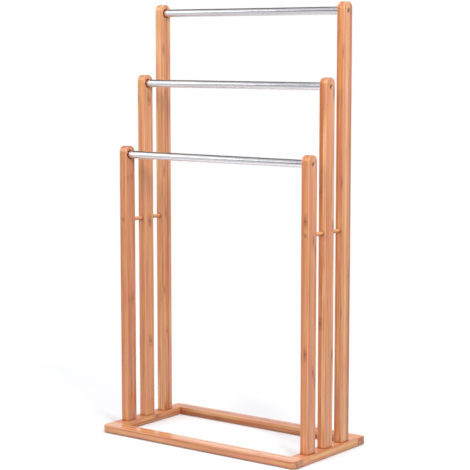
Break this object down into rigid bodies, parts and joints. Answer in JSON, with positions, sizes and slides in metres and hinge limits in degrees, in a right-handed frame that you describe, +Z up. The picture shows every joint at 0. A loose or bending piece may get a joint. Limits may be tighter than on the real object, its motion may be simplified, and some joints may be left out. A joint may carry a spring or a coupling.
{
  "type": "towel rack",
  "caption": "Free-standing bamboo towel rack: a flat rectangular base, upright posts at each end and steel tube rails that step up from front to back.",
  "frame": {"origin": "on the floor, under the middle of the base", "axes": "+X along the rails to the right, +Y from the low front rail to the high back rail, +Z up"},
  "size_m": [0.496, 0.256, 0.9],
  "materials": {
    "bamboo": "semi-gloss lacquer over laminated strips",
    "bamboo_dowel": "satin",
    "stainless_tube": "fine lengthwise polish",
    "zinc_plated": "satin",
    "dark_screw": "satin dark bronze",
    "pad_rubber": "matt"
  },
  "bodies": {
    "root": {"base_front_rail": "bamboo", "base_back_rail": "bamboo", "base_left_end": "bamboo", "base_right_end": "bamboo", "post_front_left": "bamboo", "post_front_right": "bamboo", "post_middle_left": "bamboo", "post_middle_right": "bamboo", "post_back_left": "bamboo", "post_back_right": "bamboo", "cross_dowel_left": "bamboo_dowel", "cross_dowel_right": "bamboo_dowel", "corner_dowels": "bamboo_dowel", "foot_dowels": "bamboo_dowel", "rail_front": "stainless_tube", "rail_middle": "stainless_tube", "rail_back": "stainless_tube", "rail_plug_front_left": "zinc_plated", "rail_plug_front_right": "zinc_plated", "rail_plug_middle_left": "zinc_plated", "rail_plug_middle_right": "zinc_plated", "rail_plug_back_left": "zinc_plated", "rail_plug_back_right": "zinc_plated", "rail_screw_front_left": "dark_screw", "rail_screw_front_right": "dark_screw", "rail_screw_middle_left": "dark_screw", "rail_screw_middle_right": "dark_screw", "rail_screw_back_left": "dark_screw", "rail_screw_back_right": "dark_screw", "foot_screws_left": "zinc_plated", "foot_screws_right": "zinc_plated", "foot_pad_front_left": "pad_rubber", "foot_pad_front_right": "pad_rubber", "foot_pad_back_left": "pad_rubber", "foot_pad_back_right": "pad_rubber"}
  },
  "joints": []
}
